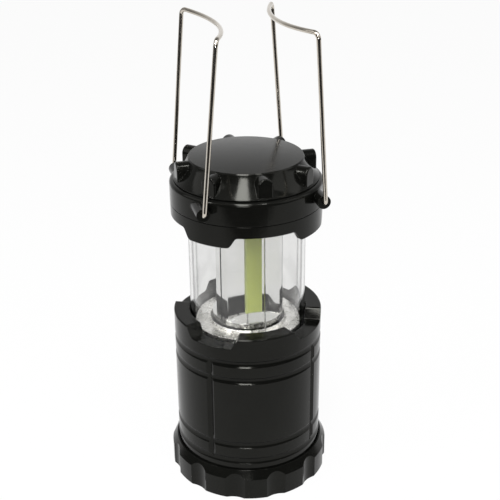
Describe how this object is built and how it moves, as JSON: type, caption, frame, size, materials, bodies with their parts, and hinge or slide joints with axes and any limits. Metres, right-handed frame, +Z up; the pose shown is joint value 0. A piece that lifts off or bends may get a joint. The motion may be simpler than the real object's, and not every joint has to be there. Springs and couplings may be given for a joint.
{
  "type": "camping lantern",
  "caption": "Pull-up camping lantern: a clear lamp tube around a mirrored column slides out of a ribbed round base, under a domed cap with folding wire bails.",
  "frame": {"origin": "centre of the foot ring, on the standing surface", "axes": "+Z up along the lantern's axis, -Y to the front, halfway between two gaps of the base's toothed rim; +X towards the right bail"},
  "size_m": [0.086, 0.086, 0.2479],
  "materials": {
    "black_plastic": "satin-gloss black moulding",
    "clear_plastic": "clear, polished",
    "mirrored_plastic": "metallised mirror",
    "wire": "nickel-plated steel wire",
    "strip_board": "white-coated aluminium-core board",
    "phosphor": "yellow-green silicone gel",
    "frame_plastic": "dark moulding",
    "cell": "plain dark-grey sleeve",
    "contact": "plated strip",
    "steel": "zinc-plated",
    "rubber": "matt",
    "circuit_board": "solder mask"
  },
  "bodies": {
    "base": {"base_shell": "black_plastic", "rim_seal": "rubber", "base_oring": "rubber", "battery_frame": "frame_plastic", "frame_screws": "steel", "aa_cell_1": "cell", "aa_cell_2": "cell", "aa_cell_3": "cell", "cell_contacts": "contact", "contact_rails": "contact"},
    "bottom_cap": {"bottom_cap": "black_plastic", "contact_disc": "contact", "battery_springs": "steel"},
    "head": {"top_cover": "black_plastic", "bail_ring": "black_plastic", "cap_skirt": "black_plastic", "lamp_tube": "clear_plastic", "floor_reflector": "mirrored_plastic", "reflector_column": "mirrored_plastic", "cob_board_1": "strip_board", "cob_board_2": "strip_board", "cob_board_3": "strip_board", "cob_phosphor_1": "phosphor", "cob_phosphor_2": "phosphor", "cob_phosphor_3": "phosphor", "wiper_contacts": "contact", "driver_board": "circuit_board", "column_screws": "steel", "cover_screws": "steel"},
    "bail_left": {"bail_left": "wire"},
    "bail_right": {"bail_right": "wire"}
  },
  "joints": [
    {"name": "head_slide", "type": "slide", "parent": "base", "child": "head", "axis": [0, 0, 1], "range_m": [-0.055, 0]},
    {"name": "cap_turn", "type": "hinge", "parent": "base", "child": "bottom_cap", "pos_m": [0, 0, 0], "axis": [0, 0, -1], "range_deg": [0, 25]},
    {"name": "left_bail_swing", "type": "hinge", "parent": "head", "child": "bail_left", "pos_m": [-0.03, 0, 0.1637], "axis": [0, -1, 0], "range_deg": [-8.5, 182]},
    {"name": "right_bail_swing", "type": "hinge", "parent": "head", "child": "bail_right", "pos_m": [0.03, 0, 0.1637], "axis": [0, 1, 0], "range_deg": [-8.5, 182]}
  ]
}
